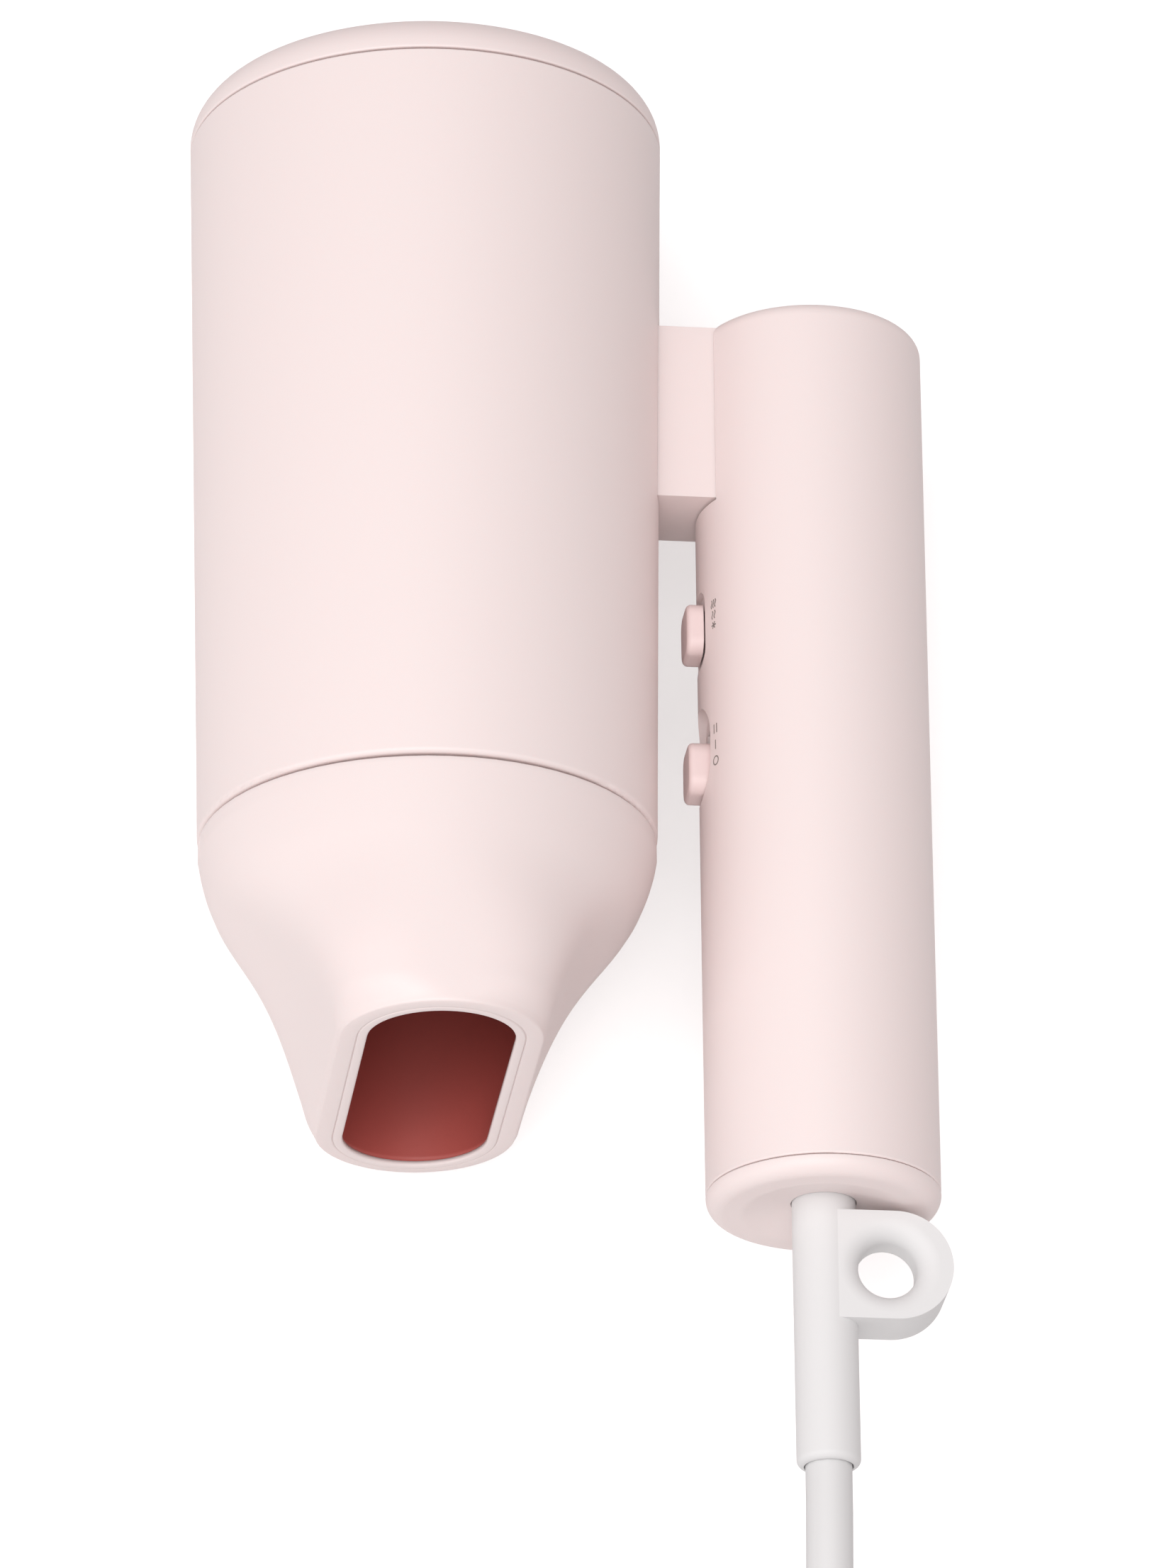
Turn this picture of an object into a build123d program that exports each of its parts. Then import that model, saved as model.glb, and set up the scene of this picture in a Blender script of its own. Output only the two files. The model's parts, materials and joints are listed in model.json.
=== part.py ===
from build123d import *
import math
import os

# A travel hair dryer with a folding handle and a turning, pull-off concentrator nozzle.
# It lies on its barrel: +Z is up, the barrel's axis runs along Y with the air outlet towards -Y,
# and the folded handle lies beside the barrel towards +X.
#
# Working axes: the barrel's axis is X = 0, Z = 0 and the seam between barrel and nozzle is Y = 0.
# save() moves each piece to the row frame, whose origin is under the middle of the dryer.
# All sizes are in millimetres.

# --- Barrel ---
REAR_R = 36.0                 # outer radius at the rear
FRONT_R = 34.15               # outer radius at the nozzle seam
BARREL_END = 121.2            # the rear plane
COVER_SEAM = 114.3            # seam between the barrel and its pull-off rear cover
BARREL_WALL = 2.0
LIP_ROUND = 0.8               # rounding of the barrel's front edge
SEAM_GAP = 0.3                # gap between faces of pieces that part or turn

# --- Rear cover ---
COVER_ROUND = 5.9             # rounding of the rear edge
GRILLE_R = 27.4               # seat of the inlet grille
LEDGE_R = 25.8                # ledge that the grille rests on
HOLE_PITCH = 3.0              # spacing of the grille's rings of holes
HOLE_R = 0.95
HOLE_RINGS = 8

# --- Nozzle ---
NOZZLE_R = 34.0               # radius at the seam, and half the outlet's long side
NOZZLE_TIP = -39.2            # outlet plane
NOZZLE_REAR = -0.4
OUTLET_HALF = 15.0            # half the outlet's short side, outside
SLOT_HALF = 10.8              # half the slot's short side
SLOT_LONG = 30.4              # half the slot's long side
SHOULDER = (-3.0, 33.9)       # the flanks leave the round section here: station, half width
SHOULDER_PULL = (-19.0, 30.7) # the cubic flank's two control points between shoulder and tip
FLANK_PULL = (-10.4, 22.6)
NOZZLE_WALL = 1.8
RIM_DEPTH = 2.0               # depth of the rim round the slot
LINER_WALL = 1.2
LINER_R = 28.3                # radius of the liner's bore at its rear
SECTIONS = 11                 # sections that carry the nozzle from round to slot
HOLLOW_SECTIONS = 9           # sections of the hollow inside it

# --- Air path inside the barrel ---
COLLAR_R = 30.6               # the collar's nose, inside the nozzle's rear
COLLAR_BORE = 26.6
MAGNET_R = 1.5
MAGNETS = 8
RING_IN = 28.8                # the nozzle's steel ring
RING_OUT = 31.6
DUCT_R = 26.0                 # bore of the fan's duct
MOTOR_R = 12.0
SHAFT_R = 1.15
RUNNING = 0.05                # radial clearance of a running fit
VANES = 7
BLADES = 9
WINDINGS = 9
WINDING_R = 23.0

# --- Handle and hinge ---
HANDLE_X = 58.2               # distance from the barrel's axis to the handle's
HANDLE_R = 17.3
HANDLE_TOP = 84.3
HANDLE_FOOT = -56.6
DISH_DEPTH = 1.6              # the end cap's face sinks towards the cord
DISH_R = 12.0
CAP_SEAM = -53.7
HANDLE_WALL = 2.4
PIVOT_Y = 69.3                # the fold's axis is parallel to Z, through the handle's axis
KNUCKLE_R = 14.2
TONGUE_HALF = 7.95            # half the tongue's thickness
FORK_GAP = 0.2                # between the tongue and each cheek
KNUCKLE_GAP = 0.4             # round the knuckle
PIN_R = 2.0
BUSH_R = 3.0

# --- Switches ---
KNOB_LONG = 8.3
KNOB_WIDE = 8.0
KNOB_PROUD = 2.1              # above the handle's skin
KNOB_CORNER = 2.4
KNOB_GAP = 0.4                # round the knob in its pocket
SPEED_Y = 13.0                # knob at off
SPEED_TRAVEL = 5.2
HEAT_Y = 35.7                 # knob at its middle position
HEAT_TRAVEL = 1.6             # either way
RECESS_FLOOR = 15.7           # distance from the handle's axis to the speed recess's floor
HEAT_FLOOR = 16.5
SPEED_SHIELD = 7.6            # half length of each slider's plate, which keeps its slot covered
HEAT_SHIELD = 5.2

# --- Strain relief and hang loop ---
RELIEF_R = 4.7
RELIEF_END = -95.9
LOOP_Y = -65.9
LOOP_X = 10.0                 # centre of the loop's outer arc, from the handle's axis
LOOP_R = 8.4
LOOP_HOLE_X = 9.0
LOOP_HOLE_R = 4.35
LOOP_THICK = 9.0
LOOP_ROUND = 3.0              # rounding of the hole's edges

# --- Cord ---
CORD_R = 3.45
CORD_LIFT = 4.4               # centre of the coil's lower layer above the floor
COIL_X = 7.5
COIL_Y = -212.0
TURN_STEP = 7.0
TURN_RADII = (32.0, 39.0, 46.0)
LAYERS = 2
TIE_THICK = 0.8
TIE_WIDE = 10.0
PLUG_LONG = 34.0
PLUG_WIDE = 34.0
PLUG_THICK = 16.4
PLUG_PIN_R = 2.4
PLUG_PIN_LONG = 19.0
PLUG_PIN_SPACING = 19.0

# --- Row frame: the origin is under the middle of the dryer without its cord ---
# The barrel is widest, and rests, where its rear rounding starts.
REST_R = FRONT_R + (REAR_R - FRONT_R) * (BARREL_END - COVER_ROUND) / BARREL_END
ORIGIN_X = (HANDLE_X + LOOP_X + LOOP_R - REST_R) / 2
ORIGIN_Y = (BARREL_END + RELIEF_END) / 2
FLOOR = -REST_R

os.makedirs("parts", exist_ok=True)


def save(name, *solids):
    """Move the solids to the row frame and write them as one node."""
    shape = solids[0] if len(solids) == 1 else Compound(children=list(solids))
    export_step(Pos(-ORIGIN_X, -ORIGIN_Y, REST_R) * shape, "parts/" + name + ".step")


def block(x_range, y_range, z_range):
    """A box between two values along each axis."""
    middle = [sum(pair) / 2 for pair in (x_range, y_range, z_range)]
    size = [pair[1] - pair[0] for pair in (x_range, y_range, z_range)]
    return Pos(*middle) * Box(*size)


def rod_y(radius, start, end, x=0.0, z=0.0):
    return Pos(x, (start + end) / 2, z) * Rot(90, 0, 0) * Cylinder(radius, end - start)


def rod_z(radius, start, end, x=0.0, y=0.0):
    return Pos(x, y, (start + end) / 2) * Cylinder(radius, end - start)


def rod_x(radius, start, end, y=0.0, z=0.0):
    return Pos((start + end) / 2, y, z) * Rot(0, 90, 0) * Cylinder(radius, end - start)


def turned(points, radii=0):
    """The outline (radius, station) turned round the barrel's axis, with its corners rounded."""
    outline = FilletPolyline(*points, radius=radii, close=True)
    return Rot(-90, 0, 0) * revolve(Plane.XZ * make_face(outline), Axis.Z)


def tube_y(inner, outer, start, end):
    return turned([(inner, start), (outer, start), (outer, end), (inner, end)])


def around(count, piece):
    """Copies of a piece, evenly spaced round the barrel's axis."""
    return [Rot(0, 360 * i / count, 0) * piece for i in range(count)]


def barrel_radius(station):
    return FRONT_R + (REAR_R - FRONT_R) * station / BARREL_END


# ---------------------------------------------------------------- barrel

def tongue_screw_places():
    """Station and angle of the four screws that hold the tongue's flange to the barrel."""
    return [(y, turn) for y in (PIVOT_Y - 17.2, PIVOT_Y + 17.2) for turn in (-17, 17)]


def radial_rod(radius, start, end, station, turn):
    """A rod that points away from the barrel's axis."""
    return Rot(0, turn, 0) * rod_x(radius, start, end, y=station)


def barrel_shell():
    seam = COVER_SEAM
    outline = [
        (FRONT_R - BARREL_WALL, 0),
        (FRONT_R, 0),
        (barrel_radius(seam), seam),
        (barrel_radius(seam) - BARREL_WALL, seam),
    ]
    shell = turned(outline, [0, LIP_ROUND, 0.3, 0])
    window = block(
        (REAR_R - 8, REAR_R + 4),
        (PIVOT_Y - KNUCKLE_R - FORK_GAP, PIVOT_Y + KNUCKLE_R + FORK_GAP),
        (-TONGUE_HALF - FORK_GAP, TONGUE_HALF + FORK_GAP),
    )
    shell -= window
    for station, turn in tongue_screw_places():
        skin = barrel_radius(station) - 0.7
        shell -= radial_rod(1.1, skin - 4, skin, station, turn)
    return shell


def magnet():
    return rod_y(MAGNET_R, -0.9, 2.1, x=(COLLAR_BORE + COLLAR_R) / 2)


def outlet_collar():
    rear_r = FRONT_R - BARREL_WALL - 0.15
    nose = -0.9
    outline = [
        (COLLAR_BORE, nose),
        (COLLAR_R, nose),
        (COLLAR_R, 0.2),
        (rear_r, 0.2),
        (rear_r, 7.0),
        (COLLAR_BORE, 7.0),
    ]
    collar = turned(outline)
    pocket = rod_y(MAGNET_R + 0.05, nose - 1, 2.1, x=(COLLAR_BORE + COLLAR_R) / 2)
    for hole in around(MAGNETS, pocket):
        collar -= hole
    return collar


def outlet_grille():
    front, back = 1.0, 3.0
    grille = tube_y(COLLAR_BORE - 1.3, COLLAR_BORE - 0.2, front, back)
    for radius in (5.0, 10.0, 15.0, 20.0):
        grille += tube_y(radius, radius + 0.9, front, back)
    for spoke in around(6, block((5.4, COLLAR_BORE - 0.7), (front, back), (-0.5, 0.5))):
        grille += spoke
    return grille


def fan_duct():
    """The fan's duct with a flared mouth, and vanes that carry the motor's sleeve."""
    mouth_r = barrel_radius(110) - BARREL_WALL - 0.4
    outline = [
        (DUCT_R, 66.5),
        (DUCT_R + 1.2, 66.5),
        (DUCT_R + 1.2, 108.0),
        (mouth_r, 108.0),
        (mouth_r, 111.5),
        (DUCT_R, 111.5),
    ]
    duct = turned(outline, [0, 0, 2.0, 0, 0, 3.0])
    sleeve = tube_y(MOTOR_R + 0.1, MOTOR_R + 1.4, 76.0, 94.0)
    duct += sleeve
    blade = Pos(19.6, 85, 0) * Rot(25, 0, 0) * Box(13.0, 16.0, 1.3)
    for vane in around(VANES, blade):
        duct += vane
    return duct


def motor_can():
    can = turned(
        [(SHAFT_R + RUNNING, 74.0), (MOTOR_R, 74.0), (MOTOR_R, 97.0), (SHAFT_R + RUNNING, 97.0)],
        [0, 0, 1.5, 0],
    )
    for side in (-1, 1):
        can -= block((side * 8 - 1.5, side * 8 + 1.5), (96, 98), (-3, 3))
    return can


def motor_end_cap():
    cap = tube_y(SHAFT_R + RUNNING, MOTOR_R - 0.6, 70.8, 74.0)
    for side in (-1, 1):
        cap += block((side * 7 - 0.4, side * 7 + 0.4), (66.5, 71.0), (-2.2, 2.2))
    return cap


def fan_impeller():
    bore = SHAFT_R + 0.02
    hub = turned(
        [(bore, 99.0), (MOTOR_R, 99.0), (MOTOR_R, 108.0), (bore, 109.5)],
        [0, 0.5, 3.0, 0],
    )
    blade = Pos(18.4, 103.6, 0) * Rot(-38, 0, 0) * Box(13.4, 9.5, 1.2)
    for copy in around(BLADES, blade):
        hub += copy
    return hub


def winding_stations():
    return [15.0 + 5.0 * i for i in range(WINDINGS)]


def mica_board(across_x):
    """One of two crossed boards. Each is slotted for half its length where the other passes."""
    thick = 0.4
    half = 26.4
    if across_x:
        board = block((-half, half), (10, 64), (-thick, thick))
        board -= block((-0.5, 0.5), (37, 65), (-1, 1))
    else:
        board = block((-thick, thick), (10, 64), (-half, half))
        board -= block((-1, 1), (9, 37), (-0.5, 0.5))
    for station in winding_stations():
        for side in (-WINDING_R, WINDING_R):
            if across_x:
                board -= rod_z(0.8, -1, 1, x=side, y=station)
            else:
                board -= rod_x(0.8, -1, 1, y=station, z=side)
    return board


def heater_element():
    """Rings of resistance wire through the boards, joined by two bus rods."""
    wire = 0.6
    offset = WINDING_R * math.sqrt(0.5)
    first, last = winding_stations()[0], winding_stations()[-1]
    bus = 0.9
    element = rod_y(bus, first - 1, last + 5.5, x=offset, z=offset)
    element += rod_y(bus, first - 1, last + 5.5, x=-offset, z=-offset)
    for station in winding_stations():
        element += Pos(0, station, 0) * Rot(90, 0, 0) * Torus(WINDING_R, wire)
    return element


def thermostat():
    body = Pos(9, 26, 3.0) * Cylinder(5.0, 4.6)
    body += block((3.0, 15.0), (25.0, 27.0), (0.6, 1.6))
    return body


def thermal_fuse():
    body = rod_y(1.6, 40, 51, x=-9, z=2.3)
    body += rod_y(0.4, 34, 57, x=-9, z=2.3)
    return body


def hinge_tongue():
    """The arm from the barrel to the handle, with a round knuckle and a flange in the barrel."""
    low, high = PIVOT_Y - KNUCKLE_R, PIVOT_Y + KNUCKLE_R
    wall_in = barrel_radius(PIVOT_Y) - BARREL_WALL - 0.35
    arm = block((31.0, HANDLE_X), (low, high), (-TONGUE_HALF, TONGUE_HALF))
    arm += rod_z(KNUCKLE_R, -TONGUE_HALF, TONGUE_HALF, HANDLE_X, PIVOT_Y)
    reach = KNUCKLE_R + 6.4
    plate = tube_y(wall_in - 2.4, wall_in, PIVOT_Y - reach, PIVOT_Y + reach)
    plate &= block((0, 40), (PIVOT_Y - reach, PIVOT_Y + reach), (-13.0, 13.0))
    arm += plate
    arm -= rod_z(BUSH_R, -TONGUE_HALF, TONGUE_HALF, HANDLE_X, PIVOT_Y)
    for station, turn in tongue_screw_places():
        arm -= radial_rod(1.15, wall_in - 4, wall_in + 1, station, turn)
    return arm


def tongue_screws():
    wall_in = barrel_radius(PIVOT_Y) - BARREL_WALL - 0.35
    screws = []
    for station, turn in tongue_screw_places():
        tip = barrel_radius(station) - 0.75
        screw = radial_rod(1.05, wall_in - 2.5, tip, station, turn)
        screw += radial_rod(2.1, wall_in - 4.0, wall_in - 2.5, station, turn)
        screw -= radial_rod(0.8, wall_in - 4.5, wall_in - 3.2, station, turn)
        screws.append(screw)
    return screws


def hinge_bushes():
    bushes = []
    for side in (-1, 1):
        inner, outer = sorted((side * 1.0, side * (TONGUE_HALF - 0.1)))
        bush = rod_z(BUSH_R, inner, outer, HANDLE_X, PIVOT_Y)
        bush -= rod_z(PIN_R + RUNNING, inner - 1, outer + 1, HANDLE_X, PIVOT_Y)
        bushes.append(bush)
    return bushes


def wire(points, bend, radius=0.75):
    """A wire along straight runs with one bend radius."""
    path = FilletPolyline(*points, radius=bend)
    start = Plane(origin=path @ 0, z_dir=path % 0)
    return sweep(start * Circle(radius), path=path)


def barrel_wires():
    """Leads from the heater's boards back along the duct to the hinge's arm."""
    leads = []
    for side in (-1, 1):
        z = side * 3.0
        points = [(24.6, 64.7, z), (27.9, 65.3, z), (29.1, 66.4, z), (29.3, 69.3, z)]
        leads.append(wire(points, 0.5, 0.6))
    return leads


# ---------------------------------------------------------------- rear cover

def rear_cover_ring():
    spigot = barrel_radius(COVER_SEAM) - BARREL_WALL - 0.5
    front = COVER_SEAM + SEAM_GAP
    outline = [
        (31.4, 111.9),
        (spigot, 111.9),
        (spigot, front),
        (barrel_radius(front), front),
        (REAR_R, BARREL_END),
        (GRILLE_R, BARREL_END),
        (GRILLE_R, 119.0),
        (LEDGE_R, 119.0),
        (LEDGE_R, 117.4),
        (31.4, 115.0),
    ]
    return turned(outline, [0, 0.4, 0, 0.3, COVER_ROUND, 0.5, 0, 0, 0, 0])


def inlet_grille():
    """A disc with rings of small round holes."""
    plate = Circle(GRILLE_R - 0.15)
    holes = [(0.0, 0.0)]
    for ring in range(1, HOLE_RINGS + 1):
        for i in range(6 * ring):
            turn = math.tau * i / (6 * ring)
            holes.append((ring * HOLE_PITCH * math.cos(turn), ring * HOLE_PITCH * math.sin(turn)))
    plate -= [Pos(x, y) * Circle(HOLE_R) for x, y in holes]
    disc = extrude(Sketch() + plate, 1.4)
    return Pos(0, 119.0, 0) * Rot(-90, 0, 0) * disc


def filter_mesh():
    """A fine cloth disc in a rim with three crossed ribs, which catches lint behind the grille."""
    front, back = 117.7, 118.5
    rim = LEDGE_R - 0.2
    mesh = tube_y(rim - 1.2, rim, front, back)
    mesh += rod_y(rim - 0.6, front + 0.2, front + 0.5)
    for rib in around(6, block((0, rim - 0.6), (front, back), (-0.4, 0.4))):
        mesh += rib
    return mesh


# ---------------------------------------------------------------- nozzle

def flank(t):
    """A point on the nozzle's side outline: one cubic curve from shoulder (t=0) to tip (t=1)."""
    weights = ((1 - t) ** 3, 3 * t * (1 - t) ** 2, 3 * t * t * (1 - t), t ** 3)
    controls = (SHOULDER, SHOULDER_PULL, FLANK_PULL, (NOZZLE_TIP, OUTLET_HALF))
    station = sum(weight * control[0] for weight, control in zip(weights, controls))
    half = sum(weight * control[1] for weight, control in zip(weights, controls))
    return station, half


def half_width(station):
    """Half the nozzle's width at a station, found on the flank's curve by halving."""
    low, high = 0.0, 1.0
    while high - low > 1e-6:
        middle = (low + high) / 2
        if flank(middle)[0] > station:
            low = middle
        else:
            high = middle
    return flank(low)[1]


def slot_face(station, half, long_half):
    """A slot-shaped section with round ends, long along Z."""
    straight = 2 * (long_half - half)
    face = SlotCenterToCenter(straight, 2 * half, rotation=90)
    return Pos(0, station, 0) * Rot(-90, 0, 0) * face


def nozzle_body(shrink, rear, sections):
    """The nozzle's outer form from its rear station to the tip, drawn in by the given amount."""
    faces = [slot_face(rear, NOZZLE_R - 0.1 - shrink, NOZZLE_R - shrink)]
    for i in range(sections):
        station, half = flank(i / (sections - 1))
        faces.append(slot_face(station, half - shrink, NOZZLE_R - shrink))
    return loft([Sketch() + face for face in faces])


def nozzle_shell():
    shell = nozzle_body(0, NOZZLE_REAR, SECTIONS)
    hollow = nozzle_body(NOZZLE_WALL, NOZZLE_REAR - 0.5, HOLLOW_SECTIONS)
    hollow -= block((-40, 40), (NOZZLE_TIP - 1, NOZZLE_TIP + RIM_DEPTH), (-40, 40))
    shell -= hollow
    shell -= rod_y(COLLAR_R + 0.4, NOZZLE_REAR - 1, NOZZLE_REAR + 1)
    slot = slot_face(NOZZLE_TIP - 1, SLOT_HALF, SLOT_LONG)
    shell -= extrude(Sketch() + slot, RIM_DEPTH + 2, dir=(0, 1, 0))
    return shell


def liner_form(grow):
    """The liner's bore, from round at its rear to the slot, grown by the given amount."""
    rear, front = -3.5, NOZZLE_TIP + RIM_DEPTH
    narrow = half_width(front)
    faces = []
    for i in range(SECTIONS):
        t = i / (SECTIONS - 1)
        station = rear + (front - rear) * t
        share = (half_width(station) - narrow) / (half_width(rear) - narrow)
        half = SLOT_HALF + (LINER_R - 0.1 - SLOT_HALF) * share
        long_half = SLOT_LONG + (LINER_R - SLOT_LONG) * (1 - t)
        faces.append(slot_face(station, half + grow, long_half + grow))
    return loft([Sketch() + face for face in faces])


def nozzle_liner():
    return liner_form(LINER_WALL) - liner_form(0)


# ---------------------------------------------------------------- handle

def at_handle(shape):
    """Move a piece drawn about the handle's axis to its place."""
    return Pos(HANDLE_X, 0, 0) * shape


def fold_slot(half):
    """The space that the tongue sweeps through the handle as it folds, about the handle's axis."""
    clear = KNUCKLE_R + KNUCKLE_GAP
    far = 2 * HANDLE_R
    slot = block((-far, 0), (-clear, far), (-half, half))
    slot += block((-far, clear), (0, far), (-half, half))
    slot += rod_z(clear, -half, half)
    return Pos(0, PIVOT_Y, 0) * slot


def knob_pocket(station, length, width, corner, floor):
    """A pocket in the handle's side towards the barrel, with rounded corners."""
    pocket = extrude(RectangleRounded(length, width, corner), 6.0)
    return Pos(-floor, station, 0) * Rot(0, -90, 0) * Rot(0, 0, 90) * pocket


def handle_shell():
    skin = turned(
        [(0, CAP_SEAM), (HANDLE_R, CAP_SEAM), (HANDLE_R, HANDLE_TOP), (0, HANDLE_TOP)],
        [0, 0.25, 2.2, 0],
    )
    skin -= rod_y(HANDLE_R - HANDLE_WALL, CAP_SEAM - 1, HANDLE_TOP - HANDLE_WALL)
    skin -= fold_slot(TONGUE_HALF + FORK_GAP)
    speed_middle = SPEED_Y + SPEED_TRAVEL / 2
    speed_length = KNOB_LONG + SPEED_TRAVEL + 1.6
    heat_length = KNOB_LONG + 2 * HEAT_TRAVEL + 2 * KNOB_GAP
    heat_width = KNOB_WIDE + 2 * KNOB_GAP
    skin -= knob_pocket(speed_middle, speed_length, 11.0, 5.4, RECESS_FLOOR)
    skin -= knob_pocket(HEAT_Y, heat_length, heat_width, KNOB_CORNER + KNOB_GAP, HEAT_FLOOR)
    speed_reach = SPEED_TRAVEL / 2 + 1.9
    heat_reach = HEAT_TRAVEL + 1.9
    for middle, reach in ((speed_middle, speed_reach), (HEAT_Y, heat_reach)):
        skin -= block((-HANDLE_R, -10), (middle - reach, middle + reach), (-1.9, 1.9))
    return at_handle(skin)


def handle_end_cap():
    """The handle's end, dished round the hole that the strain relief passes through."""
    top = CAP_SEAM - 0.15
    cap = turned(
        [
            (0, HANDLE_FOOT + DISH_DEPTH),
            (RELIEF_R, HANDLE_FOOT + DISH_DEPTH),
            (DISH_R, HANDLE_FOOT),
            (HANDLE_R, HANDLE_FOOT),
            (HANDLE_R, top),
            (0, top),
        ],
        [0, 0, 4.0, 2.5, 0.25, 0],
    )
    cap += rod_y(HANDLE_R - HANDLE_WALL - 0.1, top - 0.05, CAP_SEAM + 3.7)
    cap -= rod_y(RELIEF_R + 0.15, HANDLE_FOOT - 1, CAP_SEAM + 4.7)
    return at_handle(cap)


def hinge_fork():
    """Two cheeks beside the tongue's knuckle, joined below it, that carry the pin."""
    fork = rod_y(HANDLE_R - HANDLE_WALL - 0.1, PIVOT_Y - 20.5, HANDLE_TOP - HANDLE_WALL - 0.1)
    fork -= fold_slot(TONGUE_HALF + FORK_GAP)
    fork -= block((-0.1, 20), (PIVOT_Y - 14.7, 90), (-TONGUE_HALF - FORK_GAP, TONGUE_HALF + FORK_GAP))
    fork -= rod_z(PIN_R + 0.02, -20, 20, 0, PIVOT_Y)
    fork -= rod_y(2.2, PIVOT_Y - 21, PIVOT_Y - 14)
    return at_handle(fork)


def hinge_pin():
    return rod_z(PIN_R, -13.4, 13.4, HANDLE_X, PIVOT_Y)


def detent_plunger():
    """A spring-loaded plunger under the knuckle, just clear of it."""
    tip = PIVOT_Y - KNUCKLE_R - 0.35
    return at_handle(rod_y(2.0, tip - 5.0, tip) + rod_y(1.0, tip - 9.0, tip - 5.0))


def detent_spring():
    """The plunger's spring, as the outer form of its coil."""
    tip = PIVOT_Y - KNUCKLE_R - 0.35
    return at_handle(tube_y(1.35, 1.95, tip - 12.1, tip - 5.05))


def spring_stop():
    tip = PIVOT_Y - KNUCKLE_R - 0.35
    stop = rod_y(4.0, tip - 14.0, tip - 12.2)
    stop += rod_y(1.0, tip - 12.2, tip - 10.0)
    return at_handle(stop)


# ---------------------------------------------------------------- switches

def knob(station, floor):
    """A rounded square button with a stem that passes through the handle's skin."""
    top = HANDLE_R + KNOB_PROUD
    foot = floor + KNOB_GAP
    pad = Box(KNOB_LONG, KNOB_WIDE, top - foot)
    pad = fillet(pad.edges().filter_by(Axis.Z), KNOB_CORNER)
    pad = fillet(pad.faces().sort_by(Axis.Z)[-1].edges(), 0.8)
    pad = Pos(-(top + foot) / 2, station, 0) * Rot(0, -90, 0) * Rot(0, 0, 90) * pad
    stem = block((-foot, -13.5), (station - 1.5, station + 1.5), (-1.5, 1.5))
    return at_handle(pad + stem)


def slider(station, reach):
    """The plate under the skin that the knob's stem drives, with a peg into the switch."""
    plate = block((-13.5, -12.6), (station - reach, station + reach), (-4.8, 4.8))
    plate += block((-12.6, -9.5), (station - 1.2, station + 1.2), (-1.2, 1.2))
    return at_handle(plate)


def switch_body(middle, length, travel, tag_end):
    """A slide switch's case, with two solder tags at one end."""
    body = block((-12.2, -5.9), (middle - length / 2, middle + length / 2), (-6.4, 6.4))
    reach = travel / 2 + 1.6
    body -= block((-13, -9.0), (middle - reach, middle + reach), (-1.6, 1.6))
    end = middle + tag_end * length / 2
    tags = sorted((end, end + tag_end * 2.0))
    body += block((-8.6, -8.0), tags, (-4.2, -1.8))
    body += block((-8.6, -8.0), tags, (1.8, 4.2))
    return at_handle(body)


def switch_frame():
    frame = block((-5.9, -4.3), (-6, 48.4), (-13.2, 13.2))
    frame -= block((-7, -3), (20, 27), (-4, 4))
    for side in (-1, 1):
        rail = sorted((side * 11.6, side * 13.0))
        frame += block((-5.0, 2.0), (-6, 48.4), rail)
    return at_handle(frame)


def control_board():
    board = block((2.2, 3.6), (-32, 12), (-12.0, 12.0))
    for side in (-1, 1):
        board -= rod_x(1.1, 0, 6, y=9, z=side * 9.5)
    return at_handle(board)


def board_components():
    """Rectifier diodes, a capacitor and a dropper resistor on the board."""
    diodes = [rod_y(1.4, -28, -22.5, x=5.1, z=z) for z in (-7.5, -2.5, 2.5, 7.5)]
    capacitor = block((3.6, 10.5), (-17, -5), (-6.5, 1.5))
    resistor = rod_y(1.8, -16, -6, x=5.5, z=6.0)
    return [at_handle(piece) for piece in diodes + [capacitor, resistor]]


def cord_clamp():
    clamp = block((-9.5, 9.5), (-45, -39), (-8.0, 5.6))
    clamp -= rod_y(CORD_R + 0.05, -46, -38)
    for side in (-1, 1):
        clamp -= rod_z(1.25, -6.5, 10, x=side * 6.9, y=-42)
    return at_handle(clamp)


def clamp_screws():
    screws = []
    for side in (-1, 1):
        screw = rod_z(1.2, -6.0, 5.65, x=side * 6.9, y=-42)
        screw += rod_z(2.2, 5.65, 7.4, x=side * 6.9, y=-42)
        screw -= block((side * 6.9 - 2.5, side * 6.9 + 2.5), (-42.3, -41.7), (6.7, 8))
        screws.append(at_handle(screw))
    return screws


def inner_cord():
    """The cord's end inside the handle, held by the clamp."""
    return at_handle(rod_y(CORD_R, -47.5, -35.5))


def handle_wires():
    """Three leads from the cord to the speed switch."""
    wires = []
    for z in (-1.9, 0.0, 1.9):
        points = [(0, -35.5, z), (-0.4, -31.5, z), (-10.2, -15.0, 1.6 * z), (-10.2, 4.6, 1.6 * z)]
        wires.append(at_handle(wire(points, 2.0)))
    return wires


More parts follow.
